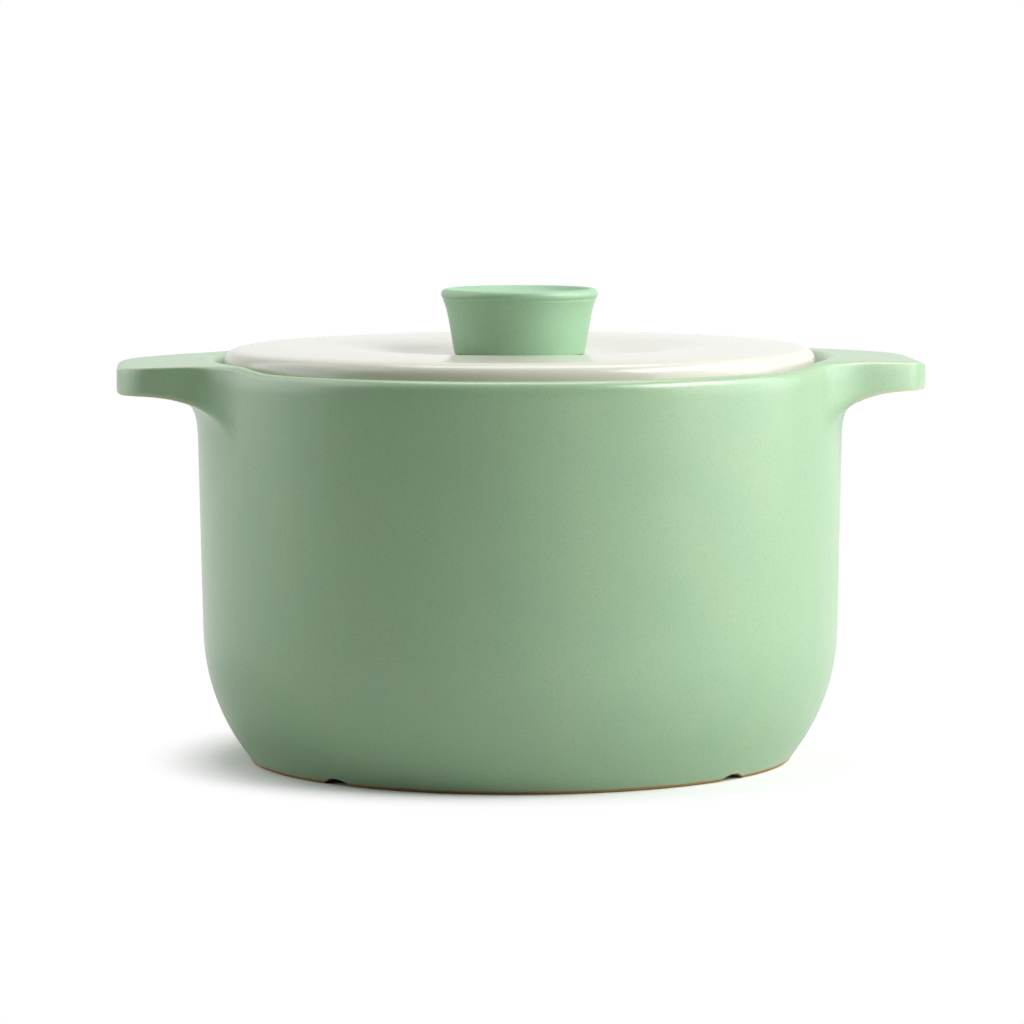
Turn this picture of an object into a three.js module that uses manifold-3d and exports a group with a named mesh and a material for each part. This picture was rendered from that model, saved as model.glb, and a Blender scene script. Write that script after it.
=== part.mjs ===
// A covered stoneware cooking pot: a turned pot with two lugs drawn out of its rim, a lid that drops
// into the mouth, and a fired knob held to the lid by one screw from below.
// Millimetres, +Z up. The origin is the middle of the foot on the table, and the lugs lie along X.
import * as THREE from "three";
import { mergeVertices } from "three/addons/utils/BufferGeometryUtils.js";
import Module from "manifold-3d";

// Pot, outside
const BODY_RADIUS = 107.8;
const RIM_HEIGHT = 132.5;
const WALL_DRAFT_DEG = 1.1;
const HEEL_RADIUS = 68;
const FOOT_INSET = 17.5;
const FOOT_BAND_HEIGHT = 2;
const FOOT_BAND_LEAN = 1.3;
const FOOT_RING_WIDTH = 9.4;
const FOOT_RECESS = 3;
const FOOT_RECESS_SLOPE = 1.2;
const NOTCH_COUNT = 4;
const NOTCH_WIDTH = 9.5;
const NOTCH_HEIGHT = 1.8;

// Pot, rim and inside
const RIM_WIDTH = 7.6;
const RIM_OUTER_ROUND = 3.4;
const RIM_INNER_ROUND = 1.2;
const SEAT_DEPTH = 3.9;
const SEAT_WIDTH = 3;
const INNER_DRAFT_DEG = 0.3;
const INNER_CORNER_RADIUS = 28;
const FLOOR_THICKNESS = 9;

// Lugs
const LUG_REACH = 26.4;
const LUG_WIDTH = 70;
const LUG_SQUARENESS = 3;
const LUG_FLARE = 12;
const LUG_THICKNESS = 9;
const LUG_EDGE_ROUND = 2.6;
const LUG_FILLET = 11.5;
const LUG_RISE = 1.8;
const LUG_DROOP = 1.3;

// Lid
const LID_EDGE_GAP = 1.9;
const LID_CROWN_HEIGHT = 9.4;
const LID_CROWN_RADIUS = 68;
const LID_SHOULDER_DROP = 1;
const LID_EDGE_ROUND = 4.4;
const LID_FOOT_ROUND = 0.8;
const LID_DISH_DEPTH = 3.4;
const LID_DISH_FLOOR_RADIUS = 28;
const LID_THICKNESS = 6.4;
const LID_SCREW_HOLE_GAP = 0.8;
const FLANGE_GAP = 1.2;
const FLANGE_DROP = 6;
const FLANGE_WIDTH = 5.5;
const FLANGE_ROUND = 1.5;

// Knob
const KNOB_HEIGHT = 21;
const KNOB_BASE_RADIUS = 21.9;
const KNOB_BASE_ROUND = 1;
const KNOB_NECK_RADIUS = 24.2;
const KNOB_NECK_HEIGHT = 14;
const KNOB_LIP_RADIUS = 26.1;
const KNOB_LIP_ROUND = 2.3;
const KNOB_DISH_DEPTH = 3;
const KNOB_WALL = 4;
const KNOB_BOSS_WALL = 3.4;
const KNOB_BOSS_LIFT = 0.3;

// Knob fixing
const SCREW_RADIUS = 2.5;
const SCREW_HEAD_RADIUS = 4.75;
const SCREW_HEAD_HEIGHT = 3.2;
const SCREW_HEAD_ROUND = 1.4;
const SCREW_TIP_ROUND = 0.6;
const SCREW_ENGAGEMENT = 9;
const CROSS_LENGTH = 5;
const CROSS_WIDTH = 1.2;
const CROSS_DEPTH = 1.6;
const INSERT_WALL = 1.8;
const INSERT_LENGTH = 11;
const WASHER_RIM = 4.5;
const WASHER_THICKNESS = 1;
const SEAL_RIM = 5.8;
const SEAL_THICKNESS = 1.5;
const GASKET_THICKNESS = 0.6;
const GASKET_INSET = 0.7;

// Clearances: between faces that lie on each other, and round the screw and the insert
const SEAT_GAP = 0.2;
const BORE_GAP = 0.2;

// Fineness of the turned shapes
const LUG_COLUMNS = 10;
const WALL_COLUMNS = 8;
const LUG_ZONE_DEG = 25;
const POT_CURVE_STEPS = 4;
const LID_SEGMENTS = 72;
const KNOB_SEGMENTS = 48;
const SMALL_SEGMENTS = 32;
const CURVE_STEPS = 3;
const NOTCH_SIDES = 24;
const OUTLINE_HALVINGS = 40;
const QUARTER_ROUND = 0.5523;
const WELD = 1e-4;

const wasm = await Module();
wasm.setup();

const radians = THREE.MathUtils.degToRad;
const mix = THREE.MathUtils.lerp;

// A rounded corner: from the path's present end, round the corner, to the end point.
function roundCorner(path, cornerR, cornerZ, endR, endZ) {
  const start = path.currentPoint.clone();
  path.bezierCurveTo(
    mix(start.x, cornerR, QUARTER_ROUND),
    mix(start.y, cornerZ, QUARTER_ROUND),
    mix(endR, cornerR, QUARTER_ROUND),
    mix(endZ, cornerZ, QUARTER_ROUND),
    endR,
    endZ,
  );
}

// Turns a profile of radius and height about Z.
function turned(path, segments, steps = CURVE_STEPS) {
  return new THREE.LatheGeometry(path.getPoints(steps), segments).rotateX(Math.PI / 2);
}

// A ring of square section standing on z = 0.
function ringGeometry(innerRadius, outerRadius, height) {
  const path = new THREE.Path();
  path.moveTo(innerRadius, 0);
  path.lineTo(outerRadius, 0);
  path.lineTo(outerRadius, height);
  path.lineTo(innerRadius, height);
  path.lineTo(innerRadius, 0);
  return turned(path, SMALL_SEGMENTS);
}

function solidOf(geometry) {
  const bare = geometry.clone();
  bare.deleteAttribute("normal");
  bare.deleteAttribute("uv");
  const welded = mergeVertices(bare, WELD);
  return new wasm.Manifold(new wasm.Mesh({
    numProp: 3,
    vertProperties: Float32Array.from(welded.attributes.position.array),
    triVerts: Uint32Array.from(welded.index.array),
  }));
}

function geometryOf(solid) {
  const mesh = solid.getMesh();
  const geometry = new THREE.BufferGeometry();
  geometry.setAttribute("position", new THREE.BufferAttribute(mesh.vertProperties, 3));
  geometry.setIndex(new THREE.BufferAttribute(mesh.triVerts, 1));
  geometry.computeVertexNormals();
  return geometry;
}

function cutAway(geometry, cutters) {
  let solid = solidOf(geometry);
  for (const cutter of cutters) {
    solid = solid.subtract(solidOf(cutter));
  }
  return geometryOf(solid);
}

function piece(name, geometry, color, roughness, metalness, z = 0) {
  const material = new THREE.MeshStandardMaterial({ color, roughness, metalness });
  const mesh = new THREE.Mesh(geometry, material);
  mesh.name = name;
  mesh.position.z = z;
  return mesh;
}

// Colours and finishes
const MINT_GLAZE = [0x9cc49b, 0.35, 0];
const CREAM_GLAZE = [0xeeede4, 0.15, 0];
const SILICONE = [0x55605a, 0.7, 0];
const STEEL = [0xb9bbbd, 0.3, 1];
const BRASS = [0xb89a55, 0.35, 1];

// The pot's own radii
const footRadius = BODY_RADIUS - FOOT_INSET;
const ringInnerRadius = footRadius - FOOT_RING_WIDTH;
const seatRadius = BODY_RADIUS - RIM_WIDTH;
const mouthRadius = seatRadius - SEAT_WIDTH;
const seatHeight = RIM_HEIGHT - SEAT_DEPTH;
const floorHeight = FOOT_RECESS + FLOOR_THICKNESS;

function wallRadius(z) {
  return BODY_RADIUS - (RIM_HEIGHT - z) * Math.tan(radians(WALL_DRAFT_DEG));
}

// The heel is an arc that leaves the foot's bare band and runs tangent into the leaning wall.
function heelArc() {
  const draft = radians(WALL_DRAFT_DEG);
  const foot = new THREE.Vector2(footRadius + FOOT_BAND_LEAN, FOOT_BAND_HEIGHT);
  const inward = new THREE.Vector2(-Math.cos(draft), Math.sin(draft));
  const base = new THREE.Vector2(wallRadius(0), 0).addScaledVector(inward, HEEL_RADIUS);
  const rise = new THREE.Vector2(Math.tan(draft), 1);
  const offset = base.clone().sub(foot);
  const a = rise.dot(rise);
  const b = 2 * offset.dot(rise);
  const c = offset.dot(offset) - HEEL_RADIUS * HEEL_RADIUS;
  const height = (-b + Math.sqrt(b * b - 4 * a * c)) / (2 * a);
  const centre = base.addScaledVector(rise, height);
  const start = Math.atan2(foot.y - centre.y, foot.x - centre.x);
  return { centre, start, end: -draft };
}

// Half of the pot's section, with or without a lug. Both run through the same curves in the same
// order, so that their points match one to one.
function potSection(hasLug) {
  const path = new THREE.Path();
  path.moveTo(0, FOOT_RECESS);
  path.lineTo(ringInnerRadius - FOOT_RECESS_SLOPE, FOOT_RECESS);
  path.lineTo(ringInnerRadius, 0);
  path.lineTo(footRadius, 0);
  path.lineTo(footRadius + FOOT_BAND_LEAN, FOOT_BAND_HEIGHT);
  const heel = heelArc();
  path.absarc(heel.centre.x, heel.centre.y, HEEL_RADIUS, heel.start, heel.end, false);

  const crestRadius = seatRadius + (BODY_RADIUS - RIM_OUTER_ROUND - seatRadius) / 2;
  const shoulder = RIM_HEIGHT - RIM_OUTER_ROUND;
  const tipTop = RIM_HEIGHT + LUG_RISE - LUG_DROOP;
  const underside = tipTop - LUG_THICKNESS;
  const filletStart = underside - LUG_FILLET;
  path.lineTo(wallRadius(filletStart), filletStart);
  if (hasLug) {
    const tip = BODY_RADIUS + LUG_REACH;
    const wall = wallRadius(underside);
    roundCorner(path, wall, underside, wall + LUG_FILLET, underside);
    path.lineTo(tip - LUG_EDGE_ROUND, underside);
    roundCorner(path, tip, underside, tip, underside + LUG_EDGE_ROUND);
    path.lineTo(tip, tipTop - LUG_EDGE_ROUND);
    roundCorner(path, tip, tipTop, tip - LUG_EDGE_ROUND, tipTop);
    path.lineTo(crestRadius, RIM_HEIGHT + LUG_RISE);
  } else {
    // Four stretches of plain wall stand for the lug's fillet, underside, lower edge and tip.
    const stretch = (shoulder - filletStart) / 4;
    for (const isCurve of [true, false, true, false]) {
      const end = path.currentPoint.y + stretch;
      const middle = end - stretch / 2;
      if (isCurve) {
        roundCorner(path, wallRadius(middle), middle, wallRadius(end), end);
      } else {
        path.lineTo(wallRadius(end), end);
      }
    }
    roundCorner(path, wallRadius(RIM_HEIGHT), RIM_HEIGHT, BODY_RADIUS - RIM_OUTER_ROUND, RIM_HEIGHT);
    path.lineTo(crestRadius, RIM_HEIGHT);
  }

  const crestHeight = hasLug ? RIM_HEIGHT + LUG_RISE : RIM_HEIGHT;
  const bevelTop = crestRadius - RIM_INNER_ROUND;
  const bevel = new THREE.Vector2(seatRadius - bevelTop, seatHeight - crestHeight).setLength(RIM_INNER_ROUND);
  roundCorner(path, bevelTop, crestHeight, bevelTop + bevel.x, crestHeight + bevel.y);
  path.lineTo(seatRadius, seatHeight);
  path.lineTo(mouthRadius, seatHeight);
  const cornerTop = floorHeight + INNER_CORNER_RADIUS;
  const innerRadius = mouthRadius - (seatHeight - cornerTop) * Math.tan(radians(INNER_DRAFT_DEG));
  path.lineTo(innerRadius, cornerTop);
  path.absarc(innerRadius - INNER_CORNER_RADIUS, cornerTop, INNER_CORNER_RADIUS, 0, -Math.PI / 2, true);
  path.lineTo(0, floorHeight);
  return path.getPoints(POT_CURVE_STEPS);
}

// The lug's outline from above is a squared oval that runs into the round wall. This gives how far it
// stands out of the wall along a ray at this angle from its middle, as a share of its reach.
function lugShare(angle) {
  const root = Math.sqrt(BODY_RADIUS ** 2 - (LUG_WIDTH / 2) ** 2);
  const depth = BODY_RADIUS + LUG_REACH - root;
  const inside = (r) => {
    const x = Math.max(r * Math.cos(angle) - root, 0) / depth;
    const y = Math.abs(r * Math.sin(angle)) / (LUG_WIDTH / 2);
    return x ** LUG_SQUARENESS + y ** LUG_SQUARENESS < 1;
  };
  let near = 0;
  let far = 2 * (BODY_RADIUS + LUG_REACH);
  for (let step = 0; step < OUTLINE_HALVINGS; step++) {
    const middle = (near + far) / 2;
    if (inside(middle)) {
      near = middle;
    } else {
      far = middle;
    }
  }
  const overlap = Math.max(LUG_FLARE - Math.abs(near - BODY_RADIUS), 0) / LUG_FLARE;
  const outline = Math.max(near, BODY_RADIUS) + overlap * overlap * LUG_FLARE / 4;
  return (outline - BODY_RADIUS) / LUG_REACH;
}

// Angles from a lug's middle, over half a turn, crowded where the lug is.
function halfTurnAngles() {
  const zone = radians(LUG_ZONE_DEG);
  const angles = [];
  for (let i = 0; i < WALL_COLUMNS; i++) {
    angles.push(mix(-Math.PI / 2, -zone, i / WALL_COLUMNS));
  }
  for (let i = 0; i < 2 * LUG_COLUMNS; i++) {
    angles.push(mix(-zone, zone, i / (2 * LUG_COLUMNS)));
  }
  for (let i = 0; i < WALL_COLUMNS; i++) {
    angles.push(mix(zone, Math.PI / 2, i / WALL_COLUMNS));
  }
  return angles;
}

// Two turned pots, one plain and one lugged all round, are mixed column by column.
function potBody() {
  const plain = potSection(false);
  const lugged = potSection(true);
  const half = halfTurnAngles();
  const columns = 2 * half.length;
  const geometry = new THREE.LatheGeometry(plain, columns);
  const positions = geometry.attributes.position;
  for (let column = 0; column <= columns; column++) {
    const fromLug = half[column % half.length];
    const share = lugShare(fromLug);
    const isFarSide = column % columns >= half.length;
    const angle = Math.PI / 2 + fromLug + (isFarSide ? Math.PI : 0);
    plain.forEach((point, row) => {
      const r = mix(point.x, lugged[row].x, share);
      const z = mix(point.y, lugged[row].y, share);
      positions.setXYZ(column * plain.length + row, r * Math.sin(angle), z, r * Math.cos(angle));
    });
  }
  geometry.rotateX(Math.PI / 2);

  const notchRadius = (NOTCH_WIDTH ** 2 / 4 + NOTCH_HEIGHT ** 2) / (2 * NOTCH_HEIGHT);
  const notches = [];
  for (let i = 0; i < NOTCH_COUNT; i++) {
    const notch = new THREE.CylinderGeometry(notchRadius, notchRadius, 3 * FOOT_RING_WIDTH, NOTCH_SIDES);
    notch.translate(0, footRadius - FOOT_RING_WIDTH / 2, NOTCH_HEIGHT - notchRadius);
    notch.rotateZ((2 * Math.PI * (i + 0.5)) / NOTCH_COUNT);
    notches.push(notch);
  }
  return cutAway(geometry, notches);
}

// The lid stands on its seat at z = 0 in its own frame, with the flange hanging below.
const lidRadius = seatRadius - LID_EDGE_GAP;
const flangeRadius = mouthRadius - FLANGE_GAP;
const flangeInner = flangeRadius - FLANGE_WIDTH;
const screwHole = SCREW_RADIUS + LID_SCREW_HOLE_GAP;
const dishFloor = LID_CROWN_HEIGHT - LID_DISH_DEPTH;
const dishUnderside = dishFloor - LID_THICKNESS;

function lidPlate() {
  const shoulder = LID_CROWN_HEIGHT - LID_SHOULDER_DROP;
  const dishMiddle = (LID_DISH_FLOOR_RADIUS + LID_CROWN_RADIUS) / 2;
  const shoulderRadius = lidRadius - LID_EDGE_ROUND;
  const outerMiddle = (LID_CROWN_RADIUS + shoulderRadius) / 2;
  const crownUnderside = LID_CROWN_HEIGHT - LID_THICKNESS;
  const path = new THREE.Path();
  path.moveTo(screwHole, dishUnderside);
  path.lineTo(LID_DISH_FLOOR_RADIUS, dishUnderside);
  path.bezierCurveTo(dishMiddle, dishUnderside, dishMiddle, crownUnderside, LID_CROWN_RADIUS, crownUnderside);
  path.lineTo(flangeInner, crownUnderside - LID_SHOULDER_DROP);
  path.lineTo(flangeInner, -FLANGE_DROP);
  path.lineTo(flangeRadius - FLANGE_ROUND, -FLANGE_DROP);
  roundCorner(path, flangeRadius, -FLANGE_DROP, flangeRadius, FLANGE_ROUND - FLANGE_DROP);
  path.lineTo(flangeRadius, 0);
  path.lineTo(lidRadius - LID_FOOT_ROUND, 0);
  path.lineTo(lidRadius, LID_FOOT_ROUND);
  path.lineTo(lidRadius, shoulder - LID_EDGE_ROUND);
  roundCorner(path, lidRadius, shoulder, shoulderRadius, shoulder);
  path.quadraticCurveTo(outerMiddle, LID_CROWN_HEIGHT, LID_CROWN_RADIUS, LID_CROWN_HEIGHT);
  path.bezierCurveTo(dishMiddle, LID_CROWN_HEIGHT, dishMiddle, dishFloor, LID_DISH_FLOOR_RADIUS, dishFloor);
  path.lineTo(screwHole, dishFloor);
  path.lineTo(screwHole, dishUnderside);
  return turned(path, LID_SEGMENTS);
}

// The knob is cast hollow, with a boss inside that takes the threaded insert.
const insertRadius = SCREW_RADIUS + BORE_GAP + INSERT_WALL;
const socketRadius = insertRadius + BORE_GAP;
const socketTop = KNOB_BOSS_LIFT + INSERT_LENGTH + SEAT_GAP;

function knob() {
  const dishFloorHeight = KNOB_HEIGHT - KNOB_DISH_DEPTH;
  const webUnderside = dishFloorHeight - KNOB_WALL;
  const crestRadius = KNOB_LIP_RADIUS - KNOB_LIP_ROUND;
  const lipHeight = KNOB_HEIGHT - KNOB_LIP_ROUND;
  const bossRadius = socketRadius + KNOB_BOSS_WALL;
  const path = new THREE.Path();
  path.moveTo(0, socketTop);
  path.lineTo(socketRadius, socketTop);
  path.lineTo(socketRadius, KNOB_BOSS_LIFT);
  path.lineTo(bossRadius, KNOB_BOSS_LIFT);
  path.lineTo(bossRadius, webUnderside);
  path.lineTo(KNOB_NECK_RADIUS - KNOB_WALL, webUnderside);
  path.lineTo(KNOB_BASE_RADIUS - KNOB_WALL, 0);
  path.lineTo(KNOB_BASE_RADIUS - KNOB_BASE_ROUND, 0);
  roundCorner(path, KNOB_BASE_RADIUS, 0, KNOB_BASE_RADIUS, KNOB_BASE_ROUND);
  path.lineTo(KNOB_NECK_RADIUS, KNOB_NECK_HEIGHT);
  path.quadraticCurveTo(KNOB_NECK_RADIUS, (KNOB_NECK_HEIGHT + lipHeight) / 2, KNOB_LIP_RADIUS, lipHeight);
  roundCorner(path, KNOB_LIP_RADIUS, KNOB_HEIGHT, crestRadius, KNOB_HEIGHT);
  path.bezierCurveTo(crestRadius - KNOB_LIP_ROUND, KNOB_HEIGHT, crestRadius - KNOB_LIP_ROUND, dishFloorHeight,
    0, dishFloorHeight);
  return turned(path, KNOB_SEGMENTS);
}

// The screw's head hangs below z = 0 and its shank stands up from it.
function knobScrew(reach) {
  const path = new THREE.Path();
  path.moveTo(0, -SCREW_HEAD_HEIGHT);
  path.lineTo(SCREW_HEAD_RADIUS - SCREW_HEAD_ROUND, -SCREW_HEAD_HEIGHT);
  roundCorner(path, SCREW_HEAD_RADIUS, -SCREW_HEAD_HEIGHT,
    SCREW_HEAD_RADIUS, SCREW_HEAD_ROUND - SCREW_HEAD_HEIGHT);
  path.lineTo(SCREW_HEAD_RADIUS, 0);
  path.lineTo(SCREW_RADIUS, 0);
  path.lineTo(SCREW_RADIUS, reach - SCREW_TIP_ROUND);
  path.lineTo(SCREW_RADIUS - SCREW_TIP_ROUND, reach);
  path.lineTo(0, reach);
  const bars = [[CROSS_LENGTH, CROSS_WIDTH], [CROSS_WIDTH, CROSS_LENGTH]].map(([x, y]) => {
    const bar = new THREE.BoxGeometry(x, y, 2 * CROSS_DEPTH);
    return bar.translate(0, 0, -SCREW_HEAD_HEIGHT);
  });
  return cutAway(turned(path, SMALL_SEGMENTS), bars);
}

// Heights in the lid's frame, upwards from the dish and downwards from its underside
const gasketBottom = dishFloor + SEAT_GAP;
const knobBottom = gasketBottom + GASKET_THICKNESS + SEAT_GAP;
const insertBottom = knobBottom + KNOB_BOSS_LIFT;
const sealBottom = dishUnderside - SEAT_GAP - SEAL_THICKNESS;
const washerBottom = sealBottom - SEAT_GAP - WASHER_THICKNESS;
const screwSeat = washerBottom - SEAT_GAP;
const screwReach = insertBottom + SCREW_ENGAGEMENT - screwSeat;
const screwBore = SCREW_RADIUS + BORE_GAP;
const gasketRadius = KNOB_BASE_RADIUS - GASKET_INSET;
const sealRadius = SCREW_RADIUS + SEAL_RIM;
const washerRadius = SCREW_RADIUS + WASHER_RIM;

const lid = new THREE.Group();
lid.position.z = seatHeight + SEAT_GAP;
lid.add(
  piece("lid_plate", lidPlate(), ...CREAM_GLAZE),
  piece("knob_gasket", ringGeometry(screwBore, gasketRadius, GASKET_THICKNESS), ...SILICONE, gasketBottom),
  piece("lid_knob", knob(), ...MINT_GLAZE, knobBottom),
  piece("knob_insert", ringGeometry(screwBore, insertRadius, INSERT_LENGTH), ...BRASS, insertBottom),
  piece("seal_washer", ringGeometry(screwBore, sealRadius, SEAL_THICKNESS), ...SILICONE, sealBottom),
  piece("steel_washer", ringGeometry(screwBore, washerRadius, WASHER_THICKNESS), ...STEEL, washerBottom),
  piece("knob_screw", knobScrew(screwReach), ...STEEL, screwSeat),
);

const cookingPot = new THREE.Group();
cookingPot.add(piece("pot_body", potBody(), ...MINT_GLAZE), lid);

export default cookingPot;
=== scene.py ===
import math

import bmesh
import bpy
from mathutils import Matrix, Vector
from mathutils.geometry import intersect_line_sphere_2d


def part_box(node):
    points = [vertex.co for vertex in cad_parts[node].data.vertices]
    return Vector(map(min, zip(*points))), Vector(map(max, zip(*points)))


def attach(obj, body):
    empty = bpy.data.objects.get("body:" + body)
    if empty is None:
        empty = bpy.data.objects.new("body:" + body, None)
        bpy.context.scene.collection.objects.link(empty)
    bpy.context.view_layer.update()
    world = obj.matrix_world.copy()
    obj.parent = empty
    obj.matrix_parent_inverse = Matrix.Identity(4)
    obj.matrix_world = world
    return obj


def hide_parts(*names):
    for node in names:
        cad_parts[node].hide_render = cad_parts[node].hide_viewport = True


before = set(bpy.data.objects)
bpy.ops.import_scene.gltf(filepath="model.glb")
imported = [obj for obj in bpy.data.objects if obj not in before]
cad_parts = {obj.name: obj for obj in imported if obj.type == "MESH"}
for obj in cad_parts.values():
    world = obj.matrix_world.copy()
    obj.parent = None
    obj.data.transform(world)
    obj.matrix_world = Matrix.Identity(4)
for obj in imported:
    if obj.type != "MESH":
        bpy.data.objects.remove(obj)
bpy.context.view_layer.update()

# Pot body
# One piece of stoneware, turned on the wheel, with two lugs drawn out of the rim while the clay was soft.
# It is glazed mint green outside and cream inside, and the foot ring is wiped bare for the kiln shelf.
MM = 0.001
POT_COLUMNS = 96
POT_STEP = 2 * math.pi / POT_COLUMNS
POT_SMOOTHING = 2
LUG_RISE = 1.8
FOOT_INSET = 17.5
FOOT_WIDTH = 9.4
FOOT_RECESS = 3.0
FOOT_BAND = 2.0
FOOT_LEAN = 1.3
WALL_LEAN = math.tan(math.radians(1.1))
HEEL_RADIUS = 68.0
HEEL_RINGS = 9
RIM_WIDTH = 7.6
SEAT_DEPTH = 3.9
SEAT_WIDTH = 3.0
FLOOR_HEIGHT = 12.0
CORNER_RADIUS = 28.0
CORNER_RINGS = 7
CENTRE_RING = 40.0
LUG_ROOT_DEPTH = 18.5

pot_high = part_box("pot_body")[1] / MM
rim = pot_high.z - LUG_RISE
body_radius = pot_high.y
foot_radius = body_radius - FOOT_INSET
foot_inner = foot_radius - FOOT_WIDTH
seat_height = rim - SEAT_DEPTH
seat_radius = body_radius - RIM_WIDTH
mouth_radius = seat_radius - SEAT_WIDTH


def wall_radius(z):
    return body_radius - (rim - z) * WALL_LEAN


def arc(centre, radius, start, end, count):
    """Points on an arc, both ends too, between two angles from the radial direction."""
    angles = [start + (end - start) * i / (count - 1) for i in range(count)]
    return [(centre[0] + radius * math.cos(a), centre[1] + radius * math.sin(a)) for a in angles]


def turn(name, columns, rings):
    """Turns a shape ring by ring, from a circle that is extruded and scaled. A ring of no radius is a pole,
    and a last ring like the first closes the shape on itself. All rings are a little wide, because smoothing
    draws them in. The piece is left in edit mode."""
    has_low_pole = rings[0][0] == 0
    start = 1 if has_low_pole else 0
    radius, height = rings[start]
    growth = 3 / (2 + math.cos(2 * math.pi / columns))
    bpy.ops.object.select_all(action="DESELECT")
    bpy.ops.mesh.primitive_circle_add(vertices=columns, radius=radius * growth * MM)
    piece = bpy.context.object
    piece.name = name
    bpy.ops.object.mode_set(mode="EDIT")
    bpy.ops.mesh.select_mode(type="VERT")
    bpy.ops.mesh.select_all(action="SELECT")
    bpy.ops.transform.translate(value=(0, 0, height * MM))
    if has_low_pole:
        bpy.ops.mesh.extrude_region_move(
            TRANSFORM_OT_translate={"value": (0, 0, (rings[0][1] - height) * MM)})
        bpy.ops.mesh.merge(type="CENTER")
        bpy.ops.mesh.select_all(action="INVERT")
    for next_radius, next_height in rings[start + 1:]:
        bpy.ops.mesh.extrude_region_move(
            TRANSFORM_OT_translate={"value": (0, 0, (next_height - height) * MM)})
        if next_radius == 0:
            bpy.ops.mesh.merge(type="CENTER")
        else:
            scale = next_radius / radius
            bpy.ops.transform.resize(value=(scale, scale, 1), center_override=(0, 0, 0))
        radius, height = next_radius, next_height
    bpy.ops.mesh.select_all(action="SELECT")
    bpy.ops.mesh.remove_doubles(threshold=0.001 * MM)
    bpy.ops.mesh.normals_make_consistent(inside=False)
    return piece


def select_where(piece, kind, test):
    """In edit mode, selects the vertices, edges or faces that pass a test of their middle, in mm."""
    bpy.ops.mesh.select_mode(type={"verts": "VERT", "edges": "EDGE", "faces": "FACE"}[kind])
    bpy.ops.mesh.select_all(action="DESELECT")
    mesh = bmesh.from_edit_mesh(piece.data)
    for part in getattr(mesh, kind):
        corners = [part] if kind == "verts" else part.verts
        middle = sum((corner.co for corner in corners), Vector()) / len(corners)
        part.select_set(bool(test(middle / MM, part)))
    mesh.select_flush_mode()
    bmesh.update_edit_mesh(piece.data)


def smooth_out(piece, levels):
    """Leaves edit mode and subdivides the piece to its final smooth surface."""
    bpy.ops.object.mode_set(mode="OBJECT")
    subdivision = piece.modifiers.new("Subdivision", "SUBSURF")
    subdivision.levels = levels
    subdivision.render_levels = levels
    bpy.ops.object.modifier_apply(modifier=subdivision.name)
    bpy.ops.object.shade_smooth()


# The heel's arc leaves the foot's bare band and runs tangent into the leaning wall.
draft = math.atan(WALL_LEAN)
foot_edge = Vector((foot_radius + FOOT_LEAN, FOOT_BAND))
arc_line = Vector((wall_radius(0), 0)) + HEEL_RADIUS * Vector((-math.cos(draft), math.sin(draft)))
crossings = intersect_line_sphere_2d(arc_line, arc_line + rim * Vector((WALL_LEAN, 1)),
                                     foot_edge, HEEL_RADIUS, False)
heel_centre = max(crossings, key=lambda point: point.y)
heel_start = math.atan2(foot_edge.y - heel_centre.y, foot_edge.x - heel_centre.x)
heel_top = heel_centre.y - HEEL_RADIUS * math.sin(draft)

lug_root = rim - LUG_ROOT_DEPTH
wall_heights = (heel_top + 14, 80, 93, 105, lug_root, rim - 12, rim - 7.5, rim - 4.2)
corner_top = FLOOR_HEIGHT + CORNER_RADIUS
inner_radius = mouth_radius - 0.5
pot = turn("pot", POT_COLUMNS, [
    (0, FOOT_RECESS),
    (CENTRE_RING, FOOT_RECESS),
    (foot_inner - 4, FOOT_RECESS),
    (foot_inner - 1.5, FOOT_RECESS - 0.2),
    (foot_inner - 0.4, 0.6),
    (foot_inner + 0.2, 0.1),
    (foot_inner + 1, 0),
    (foot_radius - 4, 0),
    (foot_radius - 0.5, 0),
    (foot_radius + 0.2, 0.3),
    (foot_radius + 0.75, 1.2),
    *arc(heel_centre, HEEL_RADIUS, heel_start, -draft, HEEL_RINGS),
    *[(wall_radius(z), z) for z in wall_heights],
    (body_radius - 0.35, rim - 2.2),
    (body_radius - 1.3, rim - 0.7),
    (body_radius - 3.0, rim),
    (seat_radius + 1.6, rim - 0.4),
    (seat_radius + 0.3, seat_height + 0.7),
    (seat_radius, seat_height),
    (seat_radius - 1.2, seat_height),
    (mouth_radius + 0.3, seat_height - 0.1),
    (mouth_radius, seat_height - 0.9),
    (mouth_radius, seat_height - 5),
    (inner_radius + 0.2, 90),
    *arc((inner_radius - CORNER_RADIUS, corner_top), CORNER_RADIUS, 0, -math.pi / 2, CORNER_RINGS),
    (CENTRE_RING, FLOOR_HEIGHT),
    (0, FLOOR_HEIGHT),
])

# The rim rises a little where a lug leaves it, and its outer edge comes up level with the lug's top.
LUG_HALF_COLUMNS = 7
RIM_LIFTS = [
    (LUG_HALF_COLUMNS + 2.5, seat_radius + 1.0, 0.15 * LUG_RISE),
    (LUG_HALF_COLUMNS + 1.5, seat_radius + 1.0, 0.3 * LUG_RISE),
    (LUG_HALF_COLUMNS + 0.5, seat_radius + 1.0, 0.55 * LUG_RISE),
    (LUG_HALF_COLUMNS + 0.5, body_radius - 1.5, 0.4),
]
for side in (-1, 1):
    for reach, inside, rise in RIM_LIFTS:
        select_where(pot, "verts", lambda p, _: (
            p.z > rim - 3 and p.xy.length > inside
            and abs(math.atan2(p.y, side * p.x)) < reach * POT_STEP))
        bpy.ops.transform.translate(value=(0, 0, rise * MM))

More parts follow.
